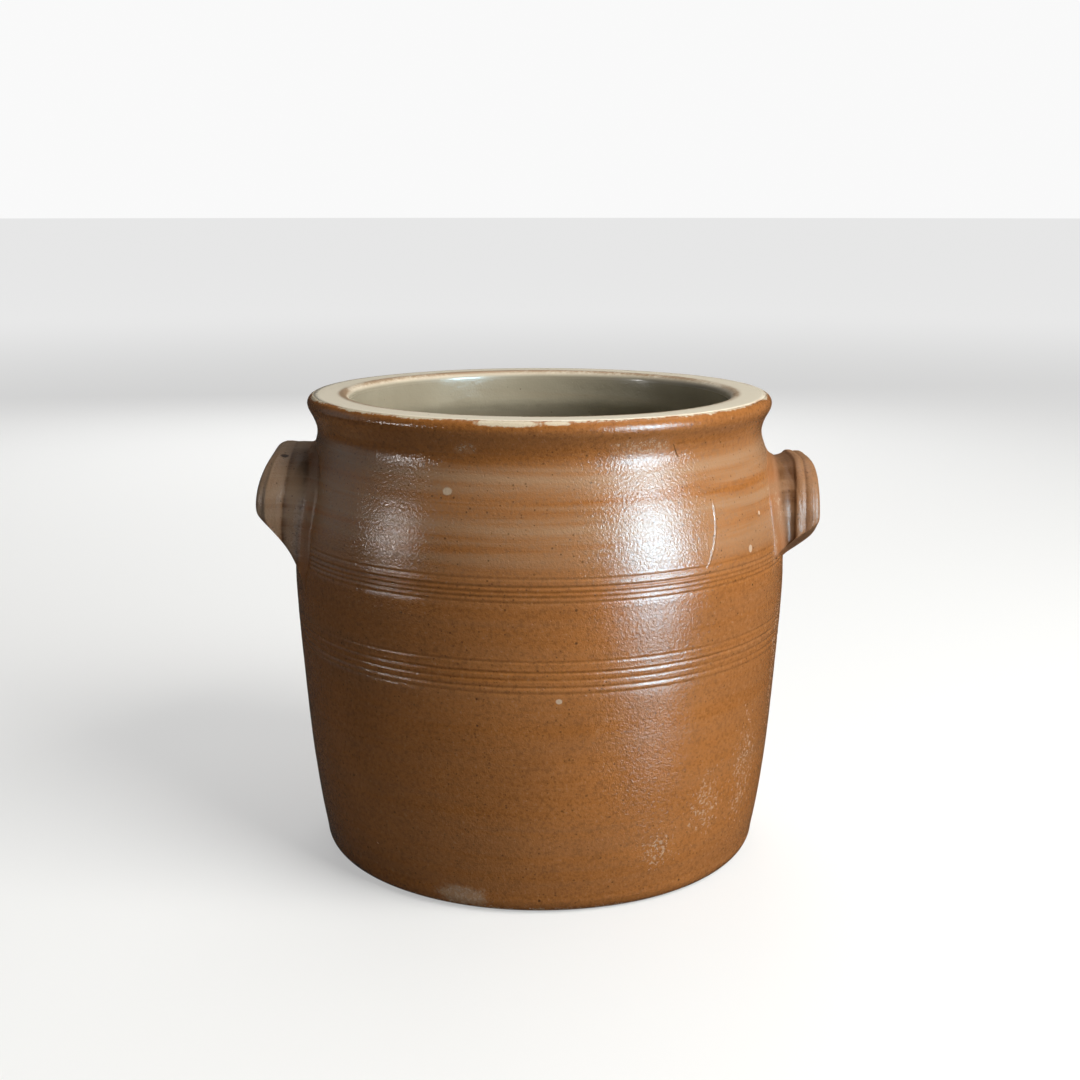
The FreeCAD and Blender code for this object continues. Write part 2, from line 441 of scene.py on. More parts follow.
@dataclass
class ThrownPot:
    """The clay pot itself, with its cut bands."""

    form: PotForm
    steps: int = 320

    def build(self, finish: bpy.types.Material) -> bpy.types.Object:
        """Spin the pot, then give it the maker's hand.

        Args:
            finish: the salt glaze.

        Returns:
            The piece, which stands for the CAD pot.
        """
        outside = self.form.outside_outline()
        inside = self.form.hollow_outline(self.form.liner, coarse=True)
        shape = spin_outline(outside + inside, self.steps)
        shelf = self.form.rim_radius - self.form.rim_round
        for vert in shape.verts:
            radius = math.hypot(vert.co.x, vert.co.y)
            height = min(max(vert.co.z, self.form.foot_height), self.form.height - self.form.rim_round)
            on_wall = radius > self.form.outer(height) - 3.0 * MM and radius > 0.9 * self.form.base_radius
            on_wall = on_wall and (vert.co.z < self.form.height - self.form.rim_round or radius > shelf + 1.2 * MM)
            vert.co = self.form.turned(vert.co, on_wall)
        return finish_piece(shape, "thrown_pot", finish, "crock_body")


@dataclass
class LinerCoat:
    """The poured glaze that covers the inside and the top of the rim."""

    form: PotForm
    steps: int = 288
    edge_drop: float = 0.128 * MM

    def build(self, finish: bpy.types.Material) -> bpy.types.Object:
        """Spin the coat as a closed shell.

        Args:
            finish: the liner glaze.

        Returns:
            The piece, which stands for the CAD liner.
        """
        shelf = self.form.rim_radius - self.form.rim_round
        edge = (shelf + self.form.liner_overlap + self.form.liner, self.form.height - self.edge_drop)
        top = self.form.hollow_outline(0.0, coarse=False)
        under = self.form.hollow_outline(self.form.liner, coarse=True)
        outline = list(reversed(under)) + [edge] + top[1:]
        shape = spin_outline(outline, self.steps)
        for vert in shape.verts:
            vert.co = self.form.turned(vert.co, False)
        return finish_piece(shape, "liner_coat", finish, "liner_glaze")


# ------------ the ears
class Side(Enum):
    """Which side of the crock an ear stands on, seen from the front."""

    LEFT = 184.0
    RIGHT = 0.0


@dataclass(frozen=True)
class Rib:
    """One rounded rib pulled along the strap, or a hollow where its rise is below 0.

    near and far are shares of the way from the wall to the strap's outer edge.
    """

    near: float
    far: float
    rise: float

    def height(self, share: float) -> float:
        """How far the rib stands up at a share of the way out from the wall."""
        part = (share - 0.5 * (self.near + self.far)) / (0.5 * (self.far - self.near))
        if abs(part) >= 1.0:
            return 0.0
        return self.rise * (math.sqrt(1.0 - part * part) if self.rise > 0.0 else (1.0 - part * part) ** 2)


@dataclass
class PulledEar:
    """An ear: a ribbed strap bent over into an arch, stuck to the shoulder by one edge.

    Lengths are in metres in the ear's own frame: X out from the axis, Y along the wall, Z up.
    """

    form: PotForm
    side: Side
    crown: float
    edge: tuple[tuple[float, float], ...]
    toe: tuple[tuple[float, float], ...]
    ribs: tuple[Rib, ...]
    leg_fillet: float
    crown_fillet: float
    toe_slant: float
    upright: float
    seed: float
    half_span: float = 28.0 * MM
    bend: float = 17.0 * MM
    half_thickness: float = 6.1 * MM
    edge_round: float = 3.4 * MM
    corner_round: float = 1.5 * MM
    level: float = 166.0 * MM
    buried: float = 2.4 * MM
    slip: float = 0.06 * MM
    crown_calm: float = 0.3
    bow: float = 0.9 * MM
    around: int = 80
    along: int = 190

    def __post_init__(self) -> None:
        """Prepare the outlines of the outer edge and the toe."""
        self.turn = math.radians(self.side.value)
        (z0, r0), (z1, r1) = self.edge[-2:]
        self.edge_line = SmoothLine([(z * MM, r * MM) for z, r in self.edge], 0.0, 1.5 * (r1 - r0) / (z1 - z0))
        (z0, r0), (z1, r1) = self.toe[-2:]
        self.toe_line = SmoothLine([(z * MM, r * MM) for z, r in self.toe], 0.3, (r1 - r0) / (z1 - z0))
        self.top = self.crown - self.half_thickness - max(rib.rise for rib in self.ribs) - self.bow
        self.spring = self.top - self.bend
        self.low = self.toe[0][0] * MM - 2.0 * MM

    # ---- the path
    def path(self, part: float) -> tuple[float, float, float, float]:
        """The strap's centreline, from the near toe over the crown to the far toe.

        Args:
            part: how far along, from 0 to 1.

        Returns:
            Y and Z of the point, then the Y and Z of the direction to the strap's outer side.
        """
        leg = self.spring - self.low
        quarter = 0.5 * math.pi * self.bend
        flat = 2.0 * (self.half_span - self.bend)
        length = 2.0 * leg + 2.0 * quarter + flat
        s = part * length
        mirrored = s > 0.5 * length
        s = length - s if mirrored else s
        if s < leg:
            y, z, ny, nz = -self.half_span, self.low + s, -1.0, 0.0
        elif s < leg + quarter:
            a = (s - leg) / self.bend
            ny, nz = -math.cos(a), math.sin(a)
            y, z = -self.half_span + self.bend + self.bend * ny, self.spring + self.bend * nz
        else:
            y, z, ny, nz = -self.half_span + self.bend + (s - leg - quarter), self.top, 0.0, 1.0
        z += self.bow * nz * (1.0 - (y / self.half_span) ** 2)
        return (-y, z, -ny, nz) if mirrored else (y, z, ny, nz)

    def wall_x(self, y: float, z: float) -> float:
        """X of the pot's outer wall at a Y and Z of the ear's own frame."""
        radius = self.form.outer(z)
        x = math.sqrt(max(radius * radius - y * y, 1e-8))
        radius = self.form.wall(math.atan2(y, x) + self.turn, z)
        return math.sqrt(max(radius * radius - y * y, 1e-8))

    def limit(self, z: float, across: float) -> float:
        """How far out the strap's cut outline lies, at a height and a place across the strap."""
        edge = self.edge_line(z)
        low = self.toe[-1][0] * MM
        cut = z - self.toe_slant * (across + self.half_thickness)
        toe = self.toe_line(cut) + max(0.0, cut - low) * 1.4
        return self.softest(edge, toe, self.corner_round)

    # ---- the section
    def section(
        self, t: float, reach: float, span: float, fillet: float, ribbed: float
    ) -> tuple[float, float, float]:
        """A point of the strap's section.

        Args:
            t: how far round the section, from 0 to 1, starting in the wall on the finger side.
            reach: how far the strap stands out here.
            span: how far it would stand out with its toe not cut off.
            fillet: how wide its outer side spreads where it meets the wall.
            ribbed: how strongly the ribs stand out here.

        Returns:
            The share of the way out, the distance across towards the outer side, and the hollow:
            1 in a crease and 0 on the crest of a rib, which darkens the creases as painted shade.
        """
        half = self.half_thickness
        nose = min(self.edge_round, 0.45 * reach)
        finger_end, nose_end, outer_end = 0.24, 0.42, 0.94
        if t < finger_end:
            out = (reach - nose) * t / finger_end
            spread = self.fillet_spread(out / reach * span, 2.5 * MM)
            return out / reach, -half + 0.5 * MM * math.sin(math.pi * t / finger_end) - spread, 0.4
        if t < nose_end:
            a = math.pi * (t - finger_end) / (nose_end - finger_end)
            across = math.copysign(abs(math.cos(a)) ** 0.86, -math.cos(a)) * half
            return (reach - nose + nose * math.sin(a) ** 0.8) / reach, across, 0.0
        if t < outer_end:
            out = (reach - nose) * (1.0 - (t - nose_end) / (outer_end - nose_end))
            share = out / reach
            raised = max((r.height(share) for r in self.ribs if r.rise > 0.0), default=0.0)
            sunk = sum(r.height(share) for r in self.ribs if r.rise < 0.0)
            fade = smoothstep(0.0, 1.6 * MM, reach - nose - out + 0.4 * MM)
            hollow = smoothstep(1.5 * MM, 0.0, raised) if share > 0.04 else 0.3
            across = half + (raised + sunk) * ribbed * fade + self.fillet_spread(share * span, fillet)
            return share, across, hollow * fade
        part = (t - outer_end) / (1.0 - outer_end)
        start = half + self.fillet_spread(0.0, fillet)
        return 0.0, start + (-half - 2.5 * MM - start) * part, 0.5

    def fillet_spread(self, out: float, radius: float) -> float:
        """How far a round fillet has spread sideways at a distance out from the wall."""
        if out >= radius:
            return 0.0
        rise = 1.0 - max(out - self.buried, 0.0) / radius
        return radius * (1.0 - math.sqrt(max(0.0, 1.0 - rise * rise)))

    def pressed(self, place: Vector) -> Vector:
        """A point of the ear, brought back to within the slip's thickness of the wall."""
        turn = math.atan2(place.y, place.x)
        radius = math.hypot(place.x, place.y)
        most = self.form.wall(turn, place.z) + self.slip
        scale = min(1.0, most / radius)
        return Vector((place.x * scale, place.y * scale, place.z))

    def softest(self, a: float, b: float, blend: float) -> float:
        """The smaller of two lengths, with the change from one to the other rounded off."""
        gap = (a - b) / blend
        return min(a, b) if abs(gap) > 12.0 else a - blend * math.log(1.0 + math.exp(gap))

    def place(self, part: float, t: float) -> tuple[Vector, tuple[float, float, float]]:
        """A point of the ear's surface in the row's frame.

        Args:
            part: how far along the strap, 0 to 1.
            t: how far round its section, 0 to 1.

        Returns:
            The point in metres, and its hollow, toe and root shares.
        """
        y, z, ny, nz = self.path(part)
        fillet = self.leg_fillet + (self.crown_fillet - self.leg_fillet) * nz * nz
        full = max(self.limit(z, 0.0) - self.wall_x(y, z), 0.0) + self.buried
        span = self.edge_line(z) - self.wall_x(y, z) + self.buried
        ribbed = 1.0 - self.crown_calm * max(nz, 0.0) ** 2
        share, across, hollow = self.section(t, max(full, 4.0 * MM), span, fillet, ribbed)
        across *= 0.5 + 0.5 * smoothstep(0.0, 6.0 * MM, full)
        wobble = 0.40 * MM * wander(7.0 * part + self.seed, 2.5 * t, self.seed)
        wobble += 0.18 * MM * wander(26.0 * part, 9.0 * t, self.seed)
        wobble += 0.10 * MM * wander(9.0 * part, 34.0 * t, self.seed + 4.0)
        across += wobble * smoothstep(0.1, 0.35, share)
        py, pz = y + across * ny, z + across * nz
        root = self.wall_x(py, pz) - self.buried
        line = self.limit(pz, across)
        x = root + share * (self.edge_line(pz) - root)
        middle = self.wall_x(py, self.level) - self.buried
        straight = middle + share * (self.edge_line(self.level) - middle)
        x += (straight - x) * self.upright * smoothstep(0.1, 0.5, share)
        x += 0.3 * MM * wander(11.0 * part, 5.0 * t, self.seed + 9.0) * share
        x = max(self.softest(x, line, 0.35 * MM), root)
        toe = smoothstep(3.0 * MM, 0.0, self.edge_line(pz) - self.corner_round - line) if pz < self.spring else 1.0
        toe = (1.0 - toe) * smoothstep(0.72, 0.95, share)
        near = smoothstep(self.buried + 5.0 * MM, self.buried + 0.5 * MM, x - root)
        cos, sin = math.cos(self.turn), math.sin(self.turn)
        return Vector((x * cos - py * sin, x * sin + py * cos, pz)), (hollow, toe, near)

    # ---- the piece
    def build_slip(self, finish: bpy.types.Material, name: str, node: str) -> bpy.types.Object:
        """The thin bead of slip behind the ear, which is the ear cut back almost to the wall.

        Args:
            finish: the slip's glaze.
            name: the piece's name.
            node: the CAD node it stands for.

        Returns:
            The piece.
        """
        return self.build(finish, name, node, "luting_slip", slip=True)

    def build(
        self, finish: bpy.types.Material, name: str, node: str, slot: str = "ear_stoneware", slip: bool = False
    ) -> bpy.types.Object:
        """Bend a tube into the ear, and note where it is hollow, cut or near the wall.

        Args:
            finish: the ear's salt glaze.
            name: the piece's name.
            node: the CAD node it stands for.
            slot: not used.
            slip: whether to keep only the layer against the wall.

        Returns:
            The piece.
        """
        shape = bmesh.new()
        bmesh.ops.create_cone(
            shape, cap_ends=True, cap_tris=False, segments=self.around, radius1=1.0, radius2=1.0, depth=1.0
        )
        long_edges = [e for e in shape.edges if abs(e.verts[0].co.z - e.verts[1].co.z) > 0.5]
        bmesh.ops.subdivide_edges(shape, edges=long_edges, cuts=self.along, use_grid_fill=False)
        layer = shape.verts.layers.float_color.new(FORM_LAYER)
        for vert in shape.verts:
            t = (math.atan2(vert.co.y, vert.co.x) / FULL_TURN) % 1.0
            vert.co, shares = self.place(vert.co.z + 0.5, t)
            if slip:
                vert.co = self.pressed(vert.co)
            vert[layer] = (*shares, 1.0)
        bmesh.ops.remove_doubles(shape, verts=shape.verts, dist=0.012 * MM)
        bmesh.ops.recalc_face_normals(shape, faces=shape.faces)
        return finish_piece(shape, name, finish, node)


# ------------ node sheets
Value = Socket | float | tuple[float, ...] | None


class Sheet:
    """Lays out the shader nodes of one material, world or group with short calls."""

    def __init__(self, tree: bpy.types.NodeTree) -> None:
        """Start on an empty tree."""
        self.tree = tree
        self.tree.nodes.clear()

    def node(self, kind: str, **settings: Value) -> bpy.types.Node:
        """Add a node and set its properties."""
        made = self.tree.nodes.new("ShaderNode" + kind)
        for name, value in settings.items():
            setattr(made, name, value)
        return made

    def feed(self, socket: Socket, value: Value) -> None:
        """Link a socket, or set its value."""
        if isinstance(value, Socket):
            self.tree.links.new(value, socket)
            return
        if isinstance(value, (tuple, list)) and len(value) == 3 and socket.type == "RGBA":
            value = (*value, 1.0)
        socket.default_value = value

    def math(self, operation: str, a: Value, b: Value = 0.0, clamp: bool = False) -> Socket:
        """A Math node on one or two values."""
        made = self.node("Math", operation=operation, use_clamp=clamp)
        self.feed(made.inputs[0], a)
        self.feed(made.inputs[1], b)
        return made.outputs[0]

    def times(self, a: Value, b: Value, clamp: bool = False) -> Socket:
        """One value times another."""
        return self.math("MULTIPLY", a, b, clamp)

    def plus(self, a: Value, b: Value, clamp: bool = False) -> Socket:
        """One value plus another."""
        return self.math("ADD", a, b, clamp)

    def minus(self, a: Value, b: Value) -> Socket:
        """One value less another."""
        return self.math("SUBTRACT", a, b)

    def larger(self, a: Value, b: Value) -> Socket:
        """The larger of two values."""
        return self.math("MAXIMUM", a, b)

    def split(self, vector: Value) -> tuple[Socket, Socket, Socket]:
        """The X, Y and Z of a vector."""
        made = self.node("SeparateXYZ")
        self.feed(made.inputs[0], vector)
        return tuple(made.outputs)

    def hues(self, colour: Value) -> tuple[Socket, Socket, Socket]:
        """The three channels of a colour."""
        made = self.node("SeparateColor")
        self.feed(made.inputs[0], colour)
        return tuple(made.outputs)

    def show(self, kind: str, surface: Socket) -> None:
        """Give the tree its output, for a material or a world."""
        self.feed(self.node("Output" + kind).inputs["Surface"], surface)

    def vector(self, operation: str, a: Value, b: Value = (0.0, 0.0, 0.0)) -> bpy.types.Node:
        """A Vector Math node on two vectors."""
        made = self.node("VectorMath", operation=operation)
        self.feed(made.inputs[0], a)
        self.feed(made.inputs[1], b)
        return made

    def scaled(self, vector: Value, by: Point) -> Socket:
        """A vector times a constant, axis by axis."""
        return self.vector("MULTIPLY", vector, by).outputs[0]

    def step(self, value: Value, low: Value, high: Value) -> Socket:
        """A smooth step from 0 at low to 1 at high."""
        made = self.node("MapRange", interpolation_type="SMOOTHSTEP")
        for index, given in enumerate((value, low, high)):
            self.feed(made.inputs[index], given)
        return made.outputs[0]

    def noise(
        self, vector: Value, scale: Value, detail: float = 4.0, rough: float = 0.55, bend: float = 0.0
    ) -> Socket:
        """Noise between 0 and 1."""
        made = self.node("TexNoise")
        for name, value in (
            ("Vector", vector), ("Scale", scale), ("Detail", detail), ("Roughness", rough), ("Distortion", bend)
        ):
            self.feed(made.inputs[name], value)
        return made.outputs["Fac"]

    def cells(self, vector: Value, scale: Value, feature: str = "F1") -> bpy.types.Node:
        """A Voronoi node."""
        made = self.node("TexVoronoi", feature=feature)
        self.feed(made.inputs["Vector"], vector)
        self.feed(made.inputs["Scale"], scale)
        return made

    def blend(self, share: Value, a: Value, b: Value) -> Socket:
        """A colour between a and b."""
        made = self.node("Mix", data_type="RGBA")
        self.feed(made.inputs[0], share)
        self.feed(made.inputs[6], a)
        self.feed(made.inputs[7], b)
        return made.outputs[2]

    def between(self, share: Value, a: Value, b: Value) -> Socket:
        """A number between a and b."""
        made = self.node("Mix", data_type="FLOAT")
        self.feed(made.inputs[0], share)
        self.feed(made.inputs[2], a)
        self.feed(made.inputs[3], b)
        return made.outputs[0]

    def place(self) -> Socket:
        """Object coordinates, which are the row's frame in metres."""
        return self.node("TexCoord").outputs["Object"]


def new_material(name: str) -> tuple[bpy.types.Material, Sheet]:
    """Make an empty node material, and a sheet to lay its nodes out on."""
    material = bpy.data.materials.new(name)
    material.use_nodes = True
    return material, Sheet(material.node_tree)


def bumped(sheet: Sheet, relief: Socket, distance: float) -> Socket:
    """The normal of a surface with a fine relief of a stated height in metres."""
    bump = sheet.node("Bump")
    bump.inputs["Strength"].default_value = 1.0
    bump.inputs["Distance"].default_value = distance
    sheet.feed(bump.inputs["Height"], relief)
    return bump.outputs[0]


class Effect:
    """A shader node group with named inputs and outputs, built once and placed in many materials."""

    name: str = ""
    inputs: tuple[tuple[str, str, Value], ...] = ()
    outputs: tuple[tuple[str, str], ...] = ()

    def lay(self, sheet: Sheet, given: dict[str, Socket]) -> dict[str, Socket]:
        """Lay out the group's nodes.

        Args:
            sheet: the group's own sheet.
            given: its inputs by name.

        Returns:
            Its outputs by name.
        """
        raise NotImplementedError

    def tree(self) -> bpy.types.NodeTree:
        """The group's node tree, made the first time it is asked for."""
        found = bpy.data.node_groups.get(self.name)
        if found:
            return found
        tree = bpy.data.node_groups.new(self.name, "ShaderNodeTree")
        for name, kind, default in self.inputs:
            socket = tree.interface.new_socket(name, in_out="INPUT", socket_type="NodeSocket" + kind)
            if default is not None:
                socket.default_value = default
        for name, kind in self.outputs:
            tree.interface.new_socket(name, in_out="OUTPUT", socket_type="NodeSocket" + kind)
        sheet = Sheet(tree)
        entry = tree.nodes.new("NodeGroupInput")
        leave = tree.nodes.new("NodeGroupOutput")
        given = {name: entry.outputs[name] for name, _, _ in self.inputs}
        for name, socket in self.lay(sheet, given).items():
            tree.links.new(socket, leave.inputs[name])
        return tree

    def on(self, sheet: Sheet, **values: Value) -> bpy.types.NodeGroup:
        """Place the group on a sheet.

        Args:
            sheet: where it goes.
            values: its inputs by name.

        Returns:
            The group node's outputs.
        """
        made = sheet.tree.nodes.new("ShaderNodeGroup")
        made.node_tree = self.tree()
        for name, value in values.items():
            sheet.feed(made.inputs[name], value)
        return made.outputs


class OrangePeel(Effect):
    """The fine pebbled skin of salt glaze, with the odd pit."""

    name = "orange_peel"
    inputs = (("Vector", "Vector", None), ("Pebble", "Float", 620.0))
    outputs = (("Height", "Float"),)

    def lay(self, sheet: Sheet, given: dict[str, Socket]) -> dict[str, Socket]:
        """Pebbles of two sizes, and pits in a few of the cells."""
        large = sheet.noise(given["Vector"], given["Pebble"], 1.0, 0.5, 0.4)
        fine = sheet.noise(given["Vector"], sheet.times(given["Pebble"], 2.3), 1.0, 0.5)
        height = sheet.plus(sheet.times(large, 1.4), sheet.times(fine, 0.7))
        cells = sheet.cells(given["Vector"], sheet.times(given["Pebble"], 0.45))
        rare = sheet.step(sheet.hues(cells.outputs["Color"])[0], 0.80, 0.86)
        pit = sheet.times(sheet.step(cells.outputs["Distance"], 0.17, 0.07), rare)
        return {"Height": sheet.minus(height, sheet.times(pit, 0.8))}


class IronSpecks(Effect):
    """Small dark specks where iron in the clay has bled through the glaze."""

    name = "iron_specks"
    inputs = (("Vector", "Vector", None), ("Spacing", "Float", 260.0), ("Share", "Float", 0.3), ("Size", "Float", 0.16))
    outputs = (("Mask", "Float"),)

    def lay(self, sheet: Sheet, given: dict[str, Socket]) -> dict[str, Socket]:
        """One speck in a share of the cells, each with its own size."""
        cells = sheet.cells(given["Vector"], given["Spacing"])
        chance, girth, _ = sheet.hues(cells.outputs["Color"])
        chosen = sheet.step(chance, sheet.minus(1.0, given["Share"]), 1.0)
        size = sheet.times(given["Size"], sheet.plus(girth, 0.25))
        ragged = sheet.times(sheet.noise(given["Vector"], 2600.0, 2.0), 0.10)
        far = sheet.plus(cells.outputs["Distance"], ragged)
        spot = sheet.step(far, sheet.plus(size, 0.09), sheet.plus(size, 0.02))
        return {"Mask": sheet.times(spot, chosen, True)}


class Mottling(Effect):
    """Large soft changes of the fired colour, and the turning streaks along the wall."""

    name = "kiln_mottling"
    inputs = (("Vector", "Vector", None),)
    outputs = (("Cloud", "Float"), ("Streak", "Float"), ("Fine", "Float"))

    def lay(self, sheet: Sheet, given: dict[str, Socket]) -> dict[str, Socket]:
        """Clouds about a hand wide, streaks that follow the turning, and a fine grain."""
        cloud = sheet.noise(given["Vector"], 14.0, 5.0, 0.55, 0.6)
        flat = sheet.scaled(given["Vector"], (5.0, 5.0, 150.0))
        streak = sheet.noise(flat, 1.0, 4.0, 0.6, 0.4)
        fine = sheet.noise(given["Vector"], 560.0, 3.0, 0.7)
        return {"Cloud": cloud, "Streak": streak, "Fine": fine}


class Patch(Effect):
    """A ragged patch about one place, wider or taller as asked."""

    name = "ragged_patch"
    inputs = (
        ("Vector", "Vector", None), ("Centre", "Vector", None), ("Wide", "Float", 0.01), ("Tall", "Float", 0.01),
        ("Lean", "Float", 0.0), ("Ragged", "Float", 0.6), ("Soft", "Float", 0.3), ("Broken", "Float", 0.0),
        ("Rough", "Float", 0.5), ("Flecks", "Float", 0.5),
    )
    outputs = (("Mask", "Float"),)

    def lay(self, sheet: Sheet, given: dict[str, Socket]) -> dict[str, Socket]:
        """Distance from the centre in patch sizes, roughened, and broken up into flecks."""
        off = sheet.vector("SUBTRACT", given["Vector"], given["Centre"]).outputs[0]
        x, y, z = sheet.split(off)
        side = sheet.minus(x, sheet.times(z, given["Lean"]))
        level = sheet.math("SQRT", sheet.plus(sheet.math("POWER", side, 2.0), sheet.math("POWER", y, 2.0)))
        across = sheet.math("DIVIDE", level, given["Wide"])
        up = sheet.math("DIVIDE", z, given["Tall"])
        far = sheet.math("SQRT", sheet.plus(sheet.math("POWER", across, 2.0), sheet.math("POWER", up, 2.0)))
        rough = sheet.times(sheet.minus(given["Rough"], 0.5), given["Ragged"])
        far = sheet.plus(far, sheet.times(rough, 4.0))
        low = sheet.minus(1.0, given["Soft"])
        whole = sheet.minus(1.0, sheet.step(far, low, sheet.plus(1.0, given["Soft"])))
        need = sheet.minus(0.84, sheet.times(whole, 0.32))
        fleck = sheet.step(given["Flecks"], need, sheet.plus(need, 0.05))
        broken = sheet.times(fleck, sheet.step(whole, 0.0, 0.2))
        return {"Mask": sheet.between(given["Broken"], whole, broken)}


class ThinLine(Effect):
    """A thin curved line that runs up the wall: a run of glaze, or a crack."""

    name = "thin_line"
    inputs = (
        ("Vector", "Vector", None), ("Turn", "Float", 0.0), ("Middle", "Float", 0.1), ("Half", "Float", 0.01),
        ("Bow", "Float", 0.0), ("Lean", "Float", 0.0), ("Width", "Float", 0.0006),
    )
    outputs = (("Mask", "Float"),)

    def lay(self, sheet: Sheet, given: dict[str, Socket]) -> dict[str, Socket]:
        """Distance along the wall from a bowed line, fading at both of its ends."""
        x, y, z = sheet.split(given["Vector"])
        bearing = sheet.minus(sheet.math("ARCTAN2", y, x), given["Turn"])
        across = sheet.times(bearing, 0.114)
        up = sheet.math("DIVIDE", sheet.minus(z, given["Middle"]), given["Half"])
        bowed = sheet.times(given["Bow"], sheet.minus(1.0, sheet.times(up, up)))
        line = sheet.plus(bowed, sheet.times(given["Lean"], up))
        sway = sheet.times(sheet.minus(sheet.noise(given["Vector"], 160.0, 2.0), 0.5), 0.0016)
        off = sheet.math("ABSOLUTE", sheet.plus(sheet.minus(across, line), sway))
        near = sheet.minus(1.0, sheet.step(off, 0.0, given["Width"]))
        ends = sheet.minus(1.0, sheet.step(sheet.math("ABSOLUTE", up), 0.7, 1.0))
        return {"Mask": sheet.times(near, ends)}


class RimLine(Effect):
    """Where the liner glaze thins out over the rim's outer edge and the brown begins."""

    name = "rim_line"
    inputs = (("Vector", "Vector", None), ("Height", "Float", 0.2194))
    outputs = (("Beige", "Float"), ("Blush", "Float"))

    def lay(self, sheet: Sheet, given: dict[str, Socket]) -> dict[str, Socket]:
        """A ragged level near the top of the rim, with a warm halo under it."""
        flat = sheet.scaled(given["Vector"], (1.0, 1.0, 0.2))
        broad = sheet.minus(sheet.noise(flat, 60.0, 3.0, 0.6), 0.5)
        fine = sheet.minus(sheet.noise(given["Vector"], 520.0, 4.0, 0.7), 0.5)
        level = sheet.plus(sheet.times(broad, 0.0030), sheet.times(fine, 0.0022))
        over = sheet.minus(sheet.plus(sheet.split(given["Vector"])[2], level), given["Height"])
        return {"Beige": sheet.step(over, -0.00035, 0.00035), "Blush": sheet.step(over, -0.0028, 0.0)}


# ------------ the finishes
WALL_MAIN: Colour = (0.262, 0.102, 0.032)


@dataclass(frozen=True)
class Grain:
    """The two noises that every mark on a surface is broken up by."""

    rough: Socket
    flecks: Socket

    @classmethod
    def on(cls, sheet: Sheet, place: Socket) -> "Grain":
        """Lay the two noises on a sheet."""
        return cls(sheet.noise(place, 300.0, 4.0, 0.65, 0.5), sheet.noise(place, 620.0, 3.0, 0.7, 0.8))


@dataclass(frozen=True)
class Mark:
    """A mark at a bearing and height on the outer wall, or at a point of its own."""

    bearing: float
    height: float
    wide: float
    tall: float
    strength: float = 1.0
    ragged: float = 0.6
    soft: float = 0.3
    broken: float = 0.0
    lean: float = 0.0
    at: Point | None = None

    def mask(self, sheet: Sheet, place: Socket, form: PotForm, grain: Grain) -> Socket:
        """The mark's mask on a sheet.

        Args:
            sheet: the material's sheet.
            place: the surface's coordinates.
            form: the pot, for the radius at the mark's height.
            grain: the noises that break it up.

        Returns:
            A value from 0 to the mark's strength.
        """
        turn = math.radians(self.bearing)
        height = self.height * MM
        radius = form.outer(height) if height < form.height - form.rim_round else form.rim_radius - 1.0 * MM
        centre = self.at or (radius * math.cos(turn), radius * math.sin(turn), height)
        found = Patch().on(
            sheet, Vector=place, Centre=centre, Wide=self.wide * MM, Tall=self.tall * MM, Lean=self.lean,
            Ragged=self.ragged, Soft=self.soft, Broken=self.broken, Rough=grain.rough, Flecks=grain.flecks,
        )
        return sheet.times(found[0], self.strength)


def strongest(sheet: Sheet, masks: Iterable[Socket]) -> Value:
    """The largest of several masks at each place, or 0 where there are none."""
    best: Value = 0.0
    for mask in masks:
        best = mask if best == 0.0 else sheet.larger(best, mask)
    return best


